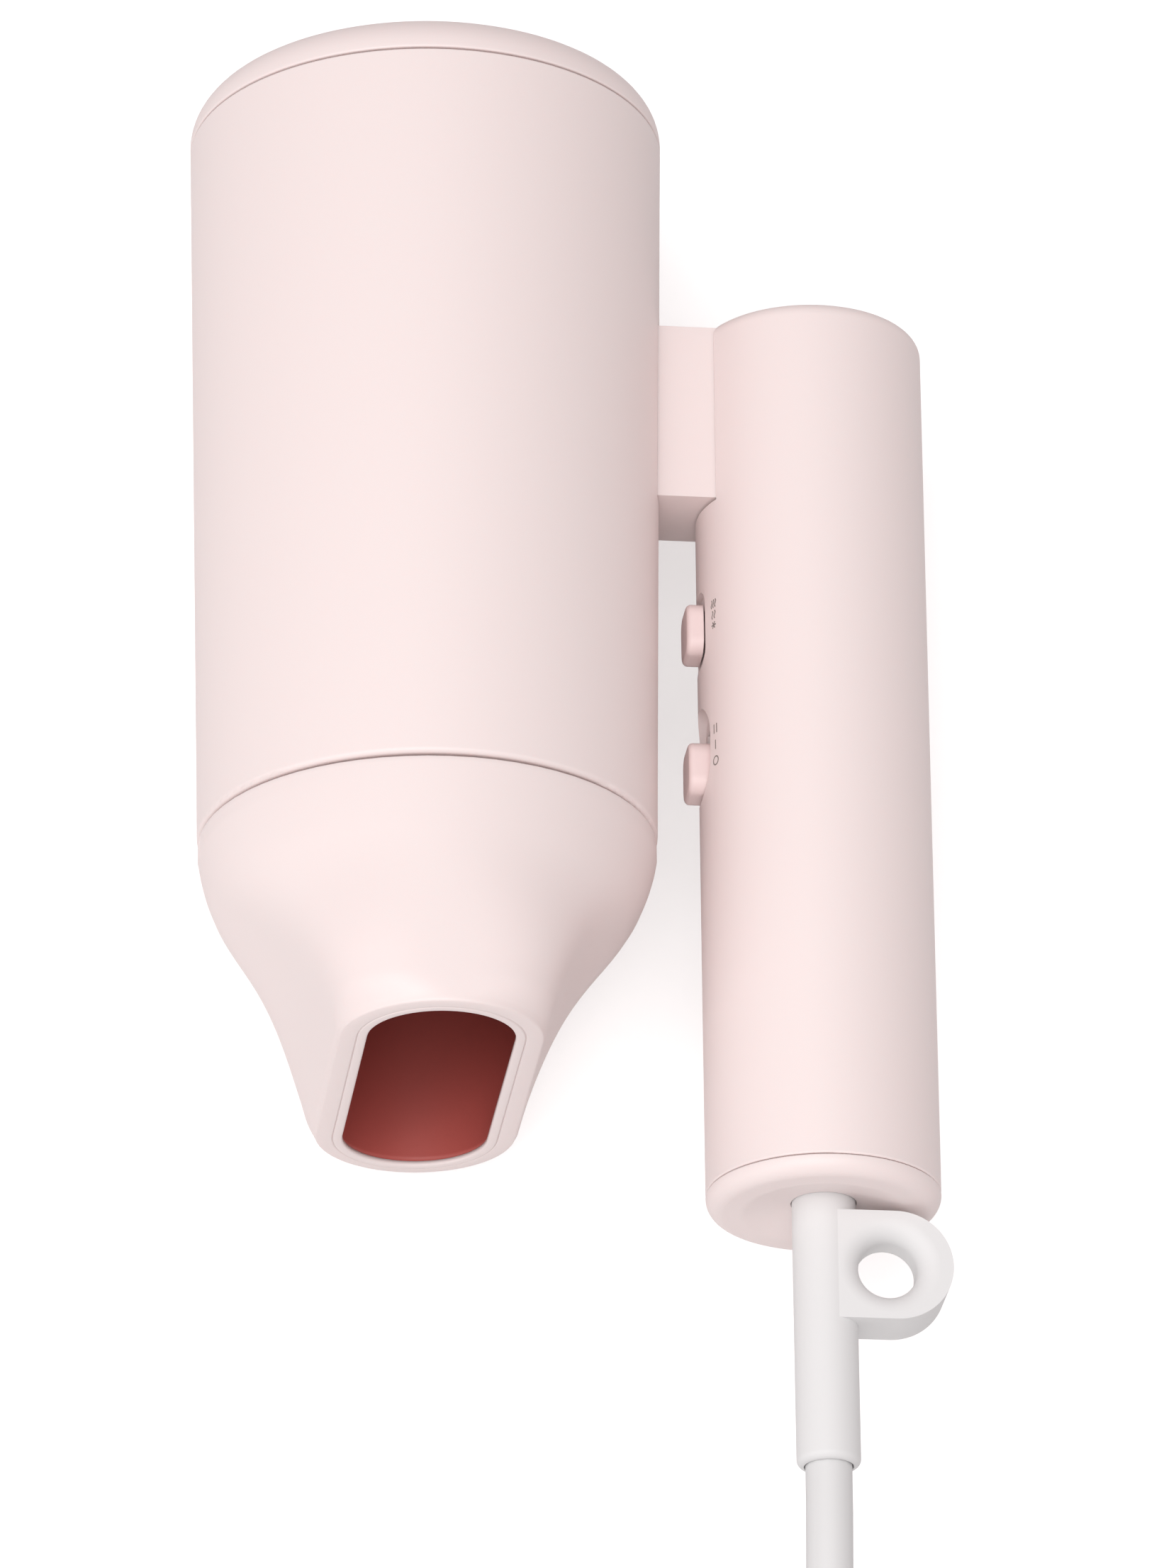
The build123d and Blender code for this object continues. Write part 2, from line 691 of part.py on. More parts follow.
def strain_relief():
    """A plain sleeve with a flat hang loop at its root and a flange inside the handle."""
    sleeve = turned(
        [
            (0, RELIEF_END),
            (RELIEF_R, RELIEF_END),
            (RELIEF_R, CAP_SEAM + 3.7),
            (7.5, CAP_SEAM + 3.7),
            (7.5, -47.5),
            (0, -47.5),
        ],
        [0, 1.1, 0, 0, 0.5, 0],
    )
    plate = Rectangle(LOOP_X, 2 * LOOP_R, align=(Align.MIN, Align.CENTER))
    plate += Pos(LOOP_X, 0) * Circle(LOOP_R)
    plate -= Pos(LOOP_HOLE_X, 0) * Circle(LOOP_HOLE_R)
    loop = extrude(plate, LOOP_THICK / 2, both=True)
    rims = [
        edge
        for edge in loop.edges().filter_by(GeomType.CIRCLE)
        if abs(edge.radius - LOOP_HOLE_R) < 0.01
    ]
    loop = fillet(rims, LOOP_ROUND)
    relief = sleeve + Pos(0, LOOP_Y, 0) * loop
    relief -= rod_z(LOOP_HOLE_R, -LOOP_THICK, LOOP_THICK, LOOP_HOLE_X, LOOP_Y)
    relief -= rod_y(CORD_R + 0.2, RELIEF_END - 1, RELIEF_END + 2.0)
    return at_handle(relief)


# ---------------------------------------------------------------- cord

# The free cord's route from the strain relief to the coil: X and Y in working axes,
# and the height of the cord's centre above the floor.
CORD_ROUTE = [
    (58.2, -93.9, REST_R),
    (58.2, -121.5, REST_R),
    (57.2, -148.0, 21.0),
    (55.0, -174.0, 4.0),
    (53.7, -198.0, 4.2),
    (53.5, -212.0, 4.4),
]

# From the coil's upper layer to the plug.
TAIL_ROUTE = [
    (-38.5, -212.0, 11.4),
    (-38.8, -196.0, 11.3),
    (-38.5, -180.0, 8.6),
    (-38.5, -167.0, 8.6),
]


def cord_tube(name, route):
    """A round tube along straight runs joined by arcs as large as the runs allow."""
    points = [Vector(x, y, height + FLOOR) for x, y, height in route]
    runs = [after - before for before, after in zip(points, points[1:])]
    radii = []
    for before, after in zip(runs, runs[1:]):
        half_turn = math.radians(before.get_angle(after)) / 2
        radii.append(0.45 * min(before.length, after.length) / math.tan(half_turn))
    path = FilletPolyline(*points, radius=radii)
    tube = sweep(Plane(origin=points[0], z_dir=runs[0]) * Circle(CORD_R), path=path)
    expected = math.pi * CORD_R ** 2 * path.length
    print(name, "radii", [round(r, 1) for r in radii])
    print(name, "length", round(path.length, 1), "volume", round(tube.volume / expected, 4))
    return tube


def cord_coil():
    """The outer form of the wound cord."""
    low = FLOOR + CORD_LIFT - TURN_STEP / 2
    inner = TURN_RADII[0] - TURN_STEP / 2
    outer = TURN_RADII[-1] + TURN_STEP / 2
    height = LAYERS * TURN_STEP
    section = Pos((inner + outer) / 2, low + height / 2) * RectangleRounded(outer - inner, height, 3.0)
    return Pos(COIL_X, COIL_Y, 0) * revolve(Plane.XZ * section, Axis.Z)


def cord_tie():
    """A strap round the coil on its far side."""
    low = FLOOR + CORD_LIFT - TURN_STEP / 2
    high = low + LAYERS * TURN_STEP
    near = COIL_Y - TURN_RADII[0] + TURN_STEP / 2 + 0.5
    far = COIL_Y - TURN_RADII[-1] - TURN_STEP / 2 - 0.1
    sides = (COIL_X - TIE_WIDE / 2, COIL_X + TIE_WIDE / 2)
    strap = block(sides, (far - TIE_THICK, near + TIE_THICK), (low - TIE_THICK, high + TIE_THICK))
    strap = fillet(strap.edges().filter_by(Axis.X), 3.4)
    hollow = block((COIL_X - TIE_WIDE, COIL_X + TIE_WIDE), (far, near), (low, high))
    return strap - fillet(hollow.edges().filter_by(Axis.X), 2.6)


def plug_place():
    """Where the cord enters the plug, and the plug's axis height."""
    x, y, height = TAIL_ROUTE[-1]
    return Pos(x, y, height + FLOOR)


def plug_body():
    """A flat moulded plug that narrows towards the cord."""
    half = PLUG_WIDE / 2
    neck = 7.0
    outline = FilletPolyline(
        (-neck, 0),
        (neck, 0),
        (neck, 8),
        (half, 18),
        (half, PLUG_LONG),
        (-half, PLUG_LONG),
        (-half, 18),
        (-neck, 8),
        radius=[2.0, 2.0, 6.0, 6.0, 2.0, 2.0, 6.0, 6.0],
        close=True,
    )
    body = extrude(make_face(outline), PLUG_THICK / 2, both=True)
    rims = body.faces().sort_by(Axis.Z)[0].edges() + body.faces().sort_by(Axis.Z)[-1].edges()
    return plug_place() * fillet(rims, 2.0)


def plug_pins():
    tip = PLUG_LONG + PLUG_PIN_LONG
    offsets = (-PLUG_PIN_SPACING / 2, PLUG_PIN_SPACING / 2)
    return [
        plug_place() * fillet(rod_y(PLUG_PIN_R, PLUG_LONG, tip, x=x).edges().sort_by(Axis.Y)[-1], 1.2)
        for x in offsets
    ]


# ---------------------------------------------------------------- save every node

save("barrel_shell", barrel_shell())
save("outlet_collar", outlet_collar())
save("collar_magnets", *around(MAGNETS, magnet()))
save("outlet_grille", outlet_grille())
save("fan_duct", fan_duct())
save("motor_can", motor_can())
save("motor_end_cap", motor_end_cap())
save("mica_board_flat", mica_board(True))
save("mica_board_upright", mica_board(False))
save("heater_element", heater_element())
save("mica_sleeve", tube_y(27.1, 27.6, 7.2, 64.2))
save("thermostat", thermostat())
save("thermal_fuse", thermal_fuse())
save("hinge_tongue", hinge_tongue())
save("tongue_screws", *tongue_screws())
save("hinge_bushes", *hinge_bushes())
save("barrel_wires", *barrel_wires())

save("rear_cover_ring", rear_cover_ring())
save("inlet_grille", inlet_grille())
save("filter_mesh", filter_mesh())

save("motor_shaft", rod_y(SHAFT_R, 71.5, 108.4))
save("fan_impeller", fan_impeller())

save("nozzle_ring", tube_y(RING_IN, RING_OUT, -3.2, -1.2))
save("nozzle_shell", nozzle_shell())
save("nozzle_liner", nozzle_liner())

save("handle_shell", handle_shell())
save("handle_end_cap", handle_end_cap())
save("hinge_fork", hinge_fork())
save("hinge_pin", hinge_pin())
save("detent_plunger", detent_plunger())
save("detent_spring", detent_spring())
save("spring_stop", spring_stop())
save("switch_frame", switch_frame())
save("speed_switch_body", switch_body(SPEED_Y + SPEED_TRAVEL / 2, 22.0, SPEED_TRAVEL, -1))
save("heat_switch_body", switch_body(HEAT_Y, 16.0, 2 * HEAT_TRAVEL, 1))
save("control_board", control_board())
save("board_components", *board_components())
save("cord_clamp", cord_clamp())
save("clamp_screws", *clamp_screws())
save("inner_cord", inner_cord())
save("handle_wires", *handle_wires())
save("strain_relief", strain_relief())

save("speed_knob", knob(SPEED_Y, RECESS_FLOOR))
save("speed_slider", slider(SPEED_Y, SPEED_SHIELD))
save("heat_knob", knob(HEAT_Y, HEAT_FLOOR))
save("heat_slider", slider(HEAT_Y, HEAT_SHIELD))

save("power_cord", cord_tube("power_cord", CORD_ROUTE))
save("cord_coil", cord_coil())
save("cord_end", cord_tube("cord_end", TAIL_ROUTE))
save("cord_tie", cord_tie())
save("plug_body", plug_body())
save("plug_pins", *plug_pins())
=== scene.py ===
import json
import math

import bpy
import numpy as np
from mathutils import Matrix, Vector


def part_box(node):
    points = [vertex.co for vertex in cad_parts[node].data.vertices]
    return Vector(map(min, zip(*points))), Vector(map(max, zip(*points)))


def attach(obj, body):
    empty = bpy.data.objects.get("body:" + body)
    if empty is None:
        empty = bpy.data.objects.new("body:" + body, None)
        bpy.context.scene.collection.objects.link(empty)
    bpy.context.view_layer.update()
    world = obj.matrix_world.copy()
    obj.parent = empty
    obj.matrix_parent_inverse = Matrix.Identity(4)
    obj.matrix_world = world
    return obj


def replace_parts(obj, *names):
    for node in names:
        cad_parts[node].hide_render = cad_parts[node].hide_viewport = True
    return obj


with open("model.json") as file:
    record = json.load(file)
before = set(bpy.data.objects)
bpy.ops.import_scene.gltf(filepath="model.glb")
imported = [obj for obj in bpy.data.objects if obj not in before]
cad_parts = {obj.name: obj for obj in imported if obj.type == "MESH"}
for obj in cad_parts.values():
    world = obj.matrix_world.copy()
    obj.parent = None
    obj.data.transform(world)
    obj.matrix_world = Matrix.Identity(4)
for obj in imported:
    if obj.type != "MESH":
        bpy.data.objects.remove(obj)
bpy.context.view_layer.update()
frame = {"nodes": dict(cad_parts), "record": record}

bl_info = {
    "name": "Travel Hair Dryer",
    "version": (1, 0, 0),
    "blender": (4, 5, 0),
    "location": "View3D > Sidebar > Dryer",
    "description": "Skins, finishes, cord and studio for a folding travel hair dryer",
    "category": "Object",
}

MM = 0.001

# Places that come from the frame: the barrel's axis, the nozzle seam and the handle's axis.
BARREL_LOW, BARREL_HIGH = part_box("barrel_shell")
SHELL_LOW, SHELL_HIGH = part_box("handle_shell")
BARREL_MIDDLE = (BARREL_LOW + BARREL_HIGH) / 2
AXIS = Vector((BARREL_MIDDLE.x, BARREL_LOW.y, BARREL_MIDDLE.z))
HANDLE_AXIS_X = (SHELL_LOW.x + SHELL_HIGH.x) / 2
HANDLE_RADIUS = (SHELL_HIGH.z - SHELL_LOW.z) / 2


# ------------------------------------------------------------------ settings

def length(label, note, default):
    return bpy.props.FloatProperty(
        name=label, description=note, default=default, unit="LENGTH", subtype="DISTANCE"
    )


def colour(label, note, default):
    return bpy.props.StringProperty(name=label, description=note, default=default)


class DryerNozzleSettings(bpy.types.PropertyGroup):
    """Sizes of the concentrator nozzle."""

    radius: length("Seam radius", "Radius where the nozzle meets the barrel", 0.034)
    reach: length("Reach", "From the seam to the outlet plane", 0.0392)
    outlet_half: length("Outlet half width", "Half the outlet's short side, outside", 0.015)
    slot_half: length("Slot half width", "Half the slot's short side", 0.0108)
    slot_long: length("Slot half length", "Half the slot's long side", 0.0304)
    wall: length("Wall", "Thickness of the shell", 0.0018)
    lip_depth: length("Lip depth", "From the rim to the liner's edge", 0.00075)
    cheek_start: length("Cheek start", "Distance from the seam where the ridges begin", 0.012)
    cheek_full: length("Cheek full", "Distance from the seam where the ridges are full", 0.031)
    cheek_depth: bpy.props.FloatProperty(
        name="Cheek depth", description="How much boxier the cheeks are", default=0.32
    )


class DryerCordSettings(bpy.types.PropertyGroup):
    """Sizes of the mains cord and its coil."""

    diameter: length("Diameter", "Outside of the cord's sheath", 0.0069)
    total: length("Length", "From the strain relief to the plug", 1.52)
    inner_turn: length("Inner turn", "Radius of the smallest turn", 0.032)
    turn_step: length("Turn step", "From one turn to the next", 0.007)
    turns: bpy.props.FloatProperty(name="Turns", description="Turns in the coil", default=5.5)


class DryerColourSettings(bpy.types.PropertyGroup):
    """Colours as sRGB hex."""

    shell: colour("Shell", "Blush pink of the moulded shells", "#F1E3E1")
    knob: colour("Knobs", "The slide knobs", "#F1DCDA")
    liner: colour("Liner", "Maroon lining of the nozzle", "#B4564F")
    cord: colour("Cord", "Light grey sheath", "#DCDCDC")
    relief: colour("Strain relief", "Light grey rubber", "#E2E2E2")
    mark: colour("Marks", "Printed switch marks", "#8D8480")


class DryerStageSettings(bpy.types.PropertyGroup):
    """The camera's place and the studio's brightness."""

    key_power: bpy.props.FloatProperty(
        name="Key light", description="The large soft light above", default=11.6, unit="POWER"
    )
    side_power: bpy.props.FloatProperty(
        name="Side light", description="The small light from the left", default=1.7, unit="POWER"
    )
    sky: bpy.props.FloatProperty(
        name="Sky", description="Strength of the light from all round", default=0.5
    )
    lens: bpy.props.FloatProperty(
        name="Lens", description="Focal length on a 36 mm tall frame, in mm", default=222.2
    )
    distance: length("Distance", "From the camera to the picture's centre", 1.438)
    tilt: bpy.props.FloatProperty(
        name="Tilt", description="Lean towards the nozzle", default=math.radians(23.7),
        subtype="ANGLE", unit="ROTATION",
    )
    lean: bpy.props.FloatProperty(
        name="Lean", description="Lean away from the handle", default=math.radians(6.8),
        subtype="ANGLE", unit="ROTATION",
    )
    roll: bpy.props.FloatProperty(
        name="Roll", description="Turn about the line of sight", default=math.radians(0.59),
        subtype="ANGLE", unit="ROTATION",
    )


# ------------------------------------------------------------------ small tools

def linear(code):
    """An sRGB hex colour as linear RGBA."""
    parts = np.array([int(code[i:i + 2], 16) for i in (1, 3, 5)]) / 255
    low, high = parts / 12.92, ((parts + 0.055) / 1.055) ** 2.4
    return (*np.where(parts <= 0.04045, low, high), 1.0)


def link_object(name, data, body, slot_name):
    """Put new data in the scene as a piece of a body, with its finish."""
    piece = bpy.data.objects.new(name, data)
    bpy.context.scene.collection.objects.link(piece)
    data.materials.append(FINISHES[slot_name])
    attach(piece, body)
    return piece


def mesh_from(name, points, faces, smooth=True):
    """A mesh from an array of points and an array or list of faces."""
    mesh = bpy.data.meshes.new(name)
    mesh.from_pydata(np.asarray(points, float).tolist(), [], [list(map(int, f)) for f in faces])
    mesh.validate()
    mesh.polygons.foreach_set("use_smooth", np.full(len(mesh.polygons), smooth))
    mesh.update()
    return mesh


def wrapped_faces(rows, columns):
    """Quads of a grid that closes on itself both ways, as row * columns + column indices."""
    row, column = np.meshgrid(np.arange(rows), np.arange(columns), indexing="ij")
    next_row, next_column = (row + 1) % rows, (column + 1) % columns
    corners = (
        row * columns + column,
        row * columns + next_column,
        next_row * columns + next_column,
        next_row * columns + column,
    )
    return np.stack(corners, axis=-1).reshape(-1, 4)


# ------------------------------------------------------------------ nozzle surfaces

def slot_ring(arc_steps, side_steps):
    """Unit arrays (c, s, w) round a slot: x is a*c and z is a*s + (H - a)*w for half sizes a and H.

    The two round ends have w at 1 and -1 while (c, s) goes half round the unit circle, and w runs
    evenly between them down the straight sides.
    """
    half = np.linspace(0, math.pi, arc_steps)
    side = np.linspace(1, -1, side_steps + 2)[1:-1]
    c = np.concatenate([np.cos(half), -np.ones(side_steps), -np.cos(half), np.ones(side_steps)])
    s = np.concatenate([np.sin(half), np.zeros(side_steps), -np.sin(half), np.zeros(side_steps)])
    w = np.concatenate([np.ones(arc_steps), side, -np.ones(arc_steps), -side])
    return c, s, w


def flank_width(station, sizes):
    """Half width of the nozzle at each distance from the seam.

    One cubic Bezier curve carries it from the seam's radius to the outlet's half width.
    """
    t = np.linspace(0, 1, 200)
    weights = np.stack([(1 - t) ** 3, 3 * t * (1 - t) ** 2, 3 * t * t * (1 - t), t ** 3])
    along = np.array([0.003, 0.019, 0.0104, sizes.reach])
    across = np.array([sizes.radius, 0.0307, 0.0226, sizes.outlet_half])
    return np.interp(station, along @ weights, across @ weights)


def slot_surface(name, profile, corner=None):
    """A closed shell: each profile row (distance from seam, a, H) is a slot-shaped ring.

    Where a row's corner power is under 1, its round ends are raised to that power and turn boxier,
    as x = a*c**power and z = a*s**power, with the signs of c and s kept.
    """
    c, s, w = slot_ring(33, 9)
    station, a, high = (profile[:, i][:, None] for i in range(3))
    power = np.ones_like(a) if corner is None else corner[:, None]
    x = AXIS.x + a * np.sign(c) * np.abs(c) ** power
    y = AXIS.y - station + np.zeros_like(x)
    z = AXIS.z + a * np.sign(s) * np.abs(s) ** power + (high - a) * w
    points = np.stack([x, y, z], axis=-1).reshape(-1, 3)
    return mesh_from(name, points, wrapped_faces(len(profile), len(c)))


def nozzle_skin_profile(sizes):
    """Rows (distance from seam, a, H) once round the nozzle's wall, from the seam out and back in.

    Rear and band rows are given point by point. On the outer and inner flanks a follows the
    flank's curve at evenly spaced distances and H stays at the seam's radius, less the wall inside.
    """
    tip = sizes.reach
    outer_rows, inner_rows = 70, 30
    outer_station = np.linspace(0.0008, tip - 0.0010, outer_rows)
    outer_a = flank_width(outer_station, sizes)
    outer = np.stack([outer_station, outer_a, np.full(outer_rows, sizes.radius)], axis=1)
    # Round rows (distance from seam, radius): the ring's seat, the collar's seat, the seam's edge.
    ring_seat, collar_seat = sizes.radius - 0.0022, 0.0311
    rear = np.array([
        (0.0024, ring_seat),
        (0.0009, ring_seat),
        (0.0009, collar_seat),
        (0.0004, collar_seat),
        (0.0004, sizes.radius - 0.0005),
        (0.0005, sizes.radius - 0.0002),
        (0.0006, sizes.radius - 0.00008),
    ])[:, [0, 1, 1]]
    slot = np.array([sizes.slot_half, sizes.slot_long])
    edge = np.array([sizes.outlet_half, sizes.radius])
    # The rim: its rounded outer edge, the flat band, a fine groove, the lip and the wall's end.
    band = np.array([
        (tip - 0.00060, *(edge - 0.00001)),
        (tip - 0.00042, *(edge - 0.00006)),
        (tip - 0.00028, *(edge - 0.00018)),
        (tip - 0.00022, *(edge - 0.00036)),
        (tip - 0.00006, *(slot + 0.00170)),
        (tip - 0.00008, *(slot + 0.00156)),
        (tip - 0.00026, *(slot + 0.00150)),
        (tip - 0.00026, *(slot + 0.00142)),
        (tip - 0.00003, *(slot + 0.00136)),
        (tip, *(slot + 0.00122)),
        (tip, *(slot + 0.00035)),
        (tip - 0.00006, *(slot + 0.00012)),
        (tip - 0.00022, *slot),
        (tip - sizes.lip_depth, *slot),
        (tip - sizes.lip_depth, *(slot + 0.0013)),
        (tip - 0.0022, *(slot + 0.0016)),
    ])
    inner_station = np.linspace(tip - 0.004, 0.004, inner_rows)
    inner_a = flank_width(inner_station, sizes) - sizes.wall
    inner_high = np.full(inner_rows, sizes.radius - sizes.wall)
    inner = np.stack([inner_station, inner_a, inner_high], axis=1)
    return np.concatenate([rear, outer, band, inner])


def cheek_corners(profile, sizes):
    """Corner power of each skin row: 1 at the seam and at the rim, least on the cheeks between.

    On the outer skin the power dips by a smooth hump in the distance from the seam, which gives a
    soft ridge that runs from each corner of the rim up the nozzle. The inner wall stays round.
    """
    station = profile[:, 0]
    outside = profile[:, 1] > flank_width(station, sizes) - sizes.wall / 2
    rise = np.clip((station - sizes.cheek_start) / (sizes.cheek_full - sizes.cheek_start), 0, 1)
    fall = np.clip((sizes.reach - 0.0011 - station) / 0.004, 0, 1)
    hump = rise * rise * (3 - 2 * rise) * fall * (2 - fall)
    return 1 - np.where(outside, sizes.cheek_depth * hump, 0)


def nozzle_liner_profile(sizes):
    """Rows once round the liner's wall: its bore narrows from round to the slot, then back outside.

    The bore's a keeps the flank's share of the way from slot to round, and H runs evenly.
    """
    clear, rows = 0.00004, 48
    tip = sizes.reach - sizes.lip_depth - clear / 2
    rear, rear_radius, wall = 0.0035, 0.0283, 0.0011
    station = np.linspace(tip, rear, rows)
    share = (flank_width(station, sizes) - sizes.outlet_half) / (sizes.radius - sizes.outlet_half)
    a = sizes.slot_half + clear + (rear_radius - sizes.slot_half) * share
    far = (station - rear) / (tip - rear)
    high = np.maximum(rear_radius + (sizes.slot_long + clear - rear_radius) * far, a)
    bore = np.stack([station, a, high], axis=1)
    return np.concatenate([bore, bore[::-1] + np.array([0, wall, wall])])


# ------------------------------------------------------------------ printed marks

LINE_WIDTH = 0.2 * MM


def on_handle(around, along, lift):
    """Points on the handle's skin: arc length from the -X side towards +Z, and a place along Y."""
    radius = HANDLE_RADIUS + lift
    turn = around / HANDLE_RADIUS
    x = HANDLE_AXIS_X - radius * np.cos(turn)
    z = AXIS.z + radius * np.sin(turn)
    return np.stack([x, along + np.zeros_like(x), z], axis=-1)


def printed_line(path, width, closed):
    """A thin raised ink line along a flat path (around, along), wrapped on the handle.

    Each path point gives four corners, half the width to either side at two heights.
    """
    path = np.asarray(path, float)
    if closed:
        step = np.roll(path, -1, 0) - np.roll(path, 1, 0)
    else:
        step = np.gradient(path, axis=0)
    step /= np.linalg.norm(step, axis=1)[:, None]
    across = np.stack([-step[:, 1], step[:, 0]], axis=1) * width / 2
    sunk, raised = -0.02 * MM, 0.03 * MM
    corners = [(1, sunk), (1, raised), (-1, raised), (-1, sunk)]
    rings = [on_handle(*(path + side * across).T, lift) for side, lift in corners]
    points = np.stack(rings, axis=1).reshape(-1, 3)
    faces = wrapped_faces(len(path), 4)
    if not closed:
        faces = [list(f) for f in faces[:-4]]
        last = 4 * (len(path) - 1)
        faces += [[3, 2, 1, 0], [last, last + 1, last + 2, last + 3]]
    return points, [list(f) for f in faces]


def bar(around, along, size):
    """A short straight mark along the handle."""
    reach = np.linspace(-size / 2, size / 2, 3)
    return np.stack([np.full(3, around), along + reach], axis=1)


def wave(around, along, size):
    """One sine wave that runs along the handle."""
    reach = np.linspace(-0.5, 0.5, 17)
    return np.stack([around + 0.12 * size * np.sin(math.tau * reach), along + size * reach], axis=1)


def ring_path(around, along, size):
    turn = np.linspace(0, math.tau, 25)[:-1]
    return np.stack([around + size / 2 * np.cos(turn), along + size / 2 * np.sin(turn)], axis=1)


def switch_marks():
    """Paths of every mark, as (path, closed).

    Off, low and high stand beside one knob; cool, warm and hot beside the other.
    """
    around = HANDLE_RADIUS * math.radians(24)
    off, low, high = (AXIS.y + y * MM for y in (12.3, 14.9, 17.5))
    cool, warm, hot = (AXIS.y + y * MM for y in (34.4, 36.1, 37.9))
    size = 1.5 * MM
    paths = [(ring_path(around, off, 1.35 * MM), True), (bar(around, low, size), False)]
    paths += [(bar(around + side * 0.36 * MM, high, size), False) for side in (-1, 1)]
    for turn in (0, 60, 120):
        reach = np.linspace(-0.5, 0.5, 3) * 1.2 * MM
        c, s = math.cos(math.radians(turn)), math.sin(math.radians(turn))
        paths.append((np.stack([around + c * reach, cool + s * reach], axis=1), False))
    paths += [(wave(around + side * 0.3 * MM, warm, 1.3 * MM), False) for side in (-1, 1)]
    paths += [(wave(around + side * 0.5 * MM, hot, 1.3 * MM), False) for side in (-1, 0, 1)]
    return paths


# ------------------------------------------------------------------ cord

# The free cord's route: distance from the barrel's axis and from the seam, and the height of the
# cord's centre above the floor, in millimetres. The coil's turns and the tail follow it.
CORD_ROUTE = [
    (58.2, -93.9, 35.91),
    (58.2, -121.5, 35.91),
    (57.2, -148.0, 21.0),
    (55.0, -174.0, 4.0),
    (53.7, -198.0, 4.2),
]
COIL_CENTRE = (7.5, -212.0)
COIL_LOW = 4.4
TAIL_ROUTE = [
    (-38.8, -196.0, 11.3),
    (-38.5, -180.0, 8.6),
    (-38.5, -167.0, 8.6),
]


def coil_points(sizes):
    """Control points of the wound turns, clockwise seen from above.

    The lower layer's turns shrink by one step each, the upper layer's grow again. A turn keeps its
    radius for three quarters of the way and eases to the next in the last quarter. Points stand a
    little outside the turn, because the curve runs inside its control points.
    """
    per_turn = 16
    outside = 2 / (1 + math.cos(math.tau / per_turn))
    turn = np.arange(0, sizes.turns + 1e-6, 1 / per_turn)
    whole, part = np.floor(turn + 1e-9), turn - np.floor(turn + 1e-9)
    ease = np.clip((part - 0.75) * 4, 0, 1)
    ease = ease * ease * (3 - 2 * ease)
    lower = np.minimum(whole + ease, 2)
    upper = np.clip(whole + ease - 3, 0, 2)
    step = sizes.turn_step / MM
    radius = sizes.inner_turn / MM + step * (2 - lower + upper)
    climb = step * np.where(whole < 2, 0, np.where(whole > 2, 1, ease))
    angle = -math.tau * turn
    x = COIL_CENTRE[0] + radius * outside * np.cos(angle)
    y = COIL_CENTRE[1] + radius * outside * np.sin(angle)
    return np.stack([x, y, COIL_LOW + climb], axis=1)


def cord_points(sizes):
    """Every control point of the cord in the row frame, in metres."""
    points = np.concatenate([CORD_ROUTE, coil_points(sizes), TAIL_ROUTE]) * MM
    return points + np.array([AXIS.x, AXIS.y, 0.0])


# ------------------------------------------------------------------ finishes

FINISHES = {}


def add(tree, kind, values=None, **attributes):
    """Add a node, set its attributes, and fill its inputs with values or links."""
    node = tree.nodes.new(kind)
    for name, value in attributes.items():
        setattr(node, name, value)
    for name, value in (values or {}).items():
        if isinstance(value, bpy.types.NodeSocket):
            tree.links.new(value, node.inputs[name])
        else:
            node.inputs[name].default_value = value
    return node


def finish(name, code, roughness, metallic=0.0, ior=1.46, **sockets):
    """Start a material with its constant values set on the shader itself."""
    material = bpy.data.materials.new(name)
    material.use_nodes = True
    tree = material.node_tree
    shader = tree.nodes["Principled BSDF"]
    shader.inputs["Base Color"].default_value = linear(code)
    shader.inputs["Roughness"].default_value = roughness
    shader.inputs["Metallic"].default_value = metallic
    if metallic < 0.5:
        shader.inputs["IOR"].default_value = ior
    for socket, value in sockets.items():
        shader.inputs[socket.replace("_", " ")].default_value = value
    return material, tree, shader


def grain(tree, shader, size, depth):
    """Bump from noise with features of the given size, in millimetres. Gives back the noise."""
    place = add(tree, "ShaderNodeTexCoord").outputs["Object"]
    values = {"Vector": place, "Scale": 1 / (size * MM), "Detail": 2.0}
    noise = add(tree, "ShaderNodeTexNoise", values).outputs["Fac"]
    bump = add(
        tree, "ShaderNodeBump", {"Strength": 1.0, "Distance": depth * MM, "Height": noise}
    )
    tree.links.new(bump.outputs["Normal"], shader.inputs["Normal"])
    return noise


def roughen(tree, shader, factor, low, high):
    """Roughness between two values, by a pattern between 0 and 1."""
    span = add(tree, "ShaderNodeMapRange", {"Value": factor, "To Min": low, "To Max": high})
    tree.links.new(span.outputs["Result"], shader.inputs["Roughness"])


def pink_shell(colours):
    """ABS, moulded in a finely spark-eroded tool.

    The fine texture spreads each light into a wide soft sheen with no sharp reflection.
    A little light passes into the pale plastic, so its shaded sides turn a warmer pink.
    """
    material, tree, shader = finish(
        "spark_textured_pink_abs", colours.shell, 0.46, ior=1.5,
        Subsurface_Weight=0.06, Subsurface_Scale=0.004,
    )
    shader.inputs["Subsurface Radius"].default_value = (1.0, 0.45, 0.4)
    # The tool's texture is about 0.1 mm; it is drawn at 0.3 mm so that it shows.
    fine = grain(tree, shader, 0.3, 0.004)
    roughen(tree, shader, fine, 0.41, 0.51)
    return material


def plain_plastic(name, code, roughness, size=0.3, depth=0.006):
    """A moulded plastic with a fine matt grain that breaks up its highlights."""
    material, tree, shader = finish(name, code, roughness)
    fine = grain(tree, shader, size, depth)
    roughen(tree, shader, fine, roughness - 0.06, roughness + 0.06)
    return material


def plain_metal(name, code, roughness):
    """A bare or plated metal with fine marks that dapple its reflections."""
    material, tree, shader = finish(name, code, roughness, metallic=1.0)
    fine = grain(tree, shader, 0.25, 0.002)
    roughen(tree, shader, fine, roughness - 0.08, roughness + 0.08)
    return material


